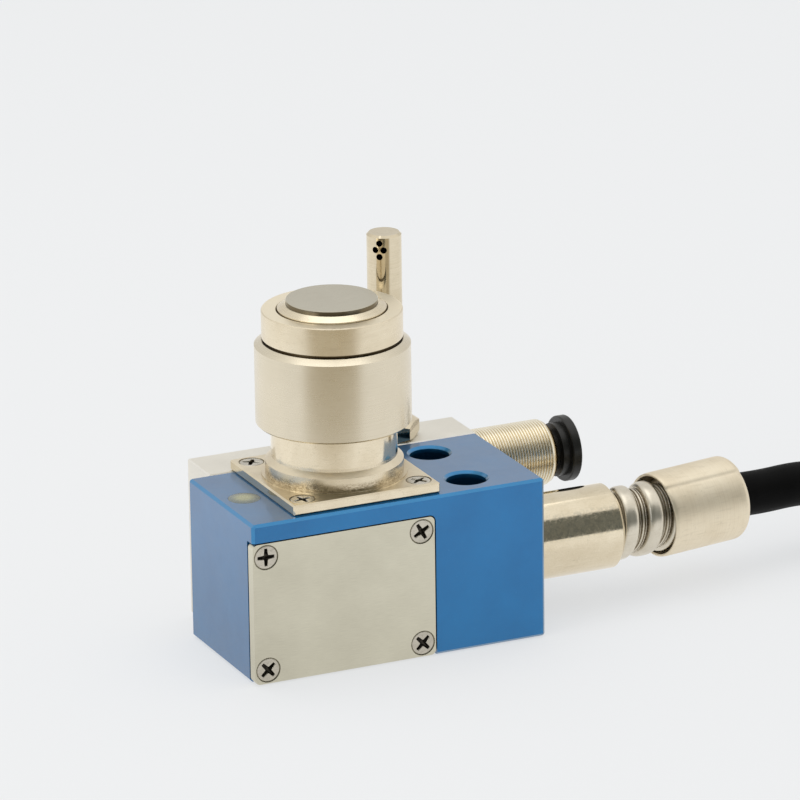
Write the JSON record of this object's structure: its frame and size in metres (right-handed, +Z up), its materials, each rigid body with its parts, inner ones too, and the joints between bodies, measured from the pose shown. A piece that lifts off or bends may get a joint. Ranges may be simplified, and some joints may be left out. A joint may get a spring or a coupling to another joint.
{
  "type": "tool setter",
  "caption": "Machine-tool setter: sprung contact disc on a flanged stem over a wired body block, with an air blow-off nozzle, push-in air fitting and armoured cable.",
  "frame": {"origin": "on the base plane under the contact axis", "axes": "+X to the right along the front cover's face, towards the cable; +Y to the back, towards the air block; +Z up, along the contact axis"},
  "size_m": [0.2892, 0.111, 0.0842],
  "materials": {
    "blue_anodised": "satin blue anodised aluminium",
    "silver_anodised": "fine matt silver anodised",
    "satin_steel": "fine satin",
    "nickel": "warm bright nickel plate",
    "steel": "bright zinc-plated steel",
    "carbide": "ground carbide",
    "brass": "turned brass",
    "bronze": "sintered bronze",
    "rubber": "matt black rubber",
    "plastic": "black moulded plastic",
    "board": "green circuit board",
    "lens": "pale yellow-green diffusing lens",
    "cable_jacket": "black cable jacket",
    "lead_jackets": "coloured lead insulation"
  },
  "bodies": {
    "setter": {"body": "blue_anodised", "rear_block": "silver_anodised", "rear_block_screws": "steel", "front_cover": "satin_steel", "cover_gasket": "rubber", "cover_screws": "steel", "terminal_board": "board", "terminal_block": "plastic", "board_screws": "steel", "indicator_lens": "lens", "led": "lens", "stem": "nickel", "flange_seal": "rubber", "flange_screws": "steel", "upper_bush": "bronze", "lower_bush": "bronze", "wiper_seal": "rubber", "contact_carrier": "plastic", "carrier_screws": "steel", "contact_pins": "brass", "return_spring": "steel", "air_nozzle": "nickel", "lock_nut": "nickel", "fitting_body": "nickel", "tube_seal": "rubber", "grip_collet": "steel", "gland_body": "nickel", "gland_seal": "rubber", "hose": "nickel", "end_sleeve": "nickel", "cable_inner": "cable_jacket", "cable_run": "cable_jacket", "cable_coil": "cable_jacket", "cable_end_sleeve": "rubber", "lead_wires": "lead_jackets"},
    "head": {"skirt": "satin_steel", "head_cap": "nickel", "contact_holder": "nickel", "contact_disc": "carbide", "plunger_shaft": "steel", "insulating_bush": "plastic", "contact_collar": "brass", "collar_nut": "steel"},
    "release": {"release_ring": "plastic"}
  },
  "joints": [
    {"name": "head_slide", "type": "slide", "parent": "setter", "child": "head", "axis": [0, 0, -1], "range_m": [0, 0.005], "stiffness_N_per_m": 400, "springref_m": -0.01, "deforming": ["return_spring"]},
    {"name": "release_slide", "type": "slide", "parent": "setter", "child": "release", "axis": [-1, 0, 0], "range_m": [0, 0.0012], "stiffness_N_per_m": 400, "springref_m": -0.001}
  ]
}
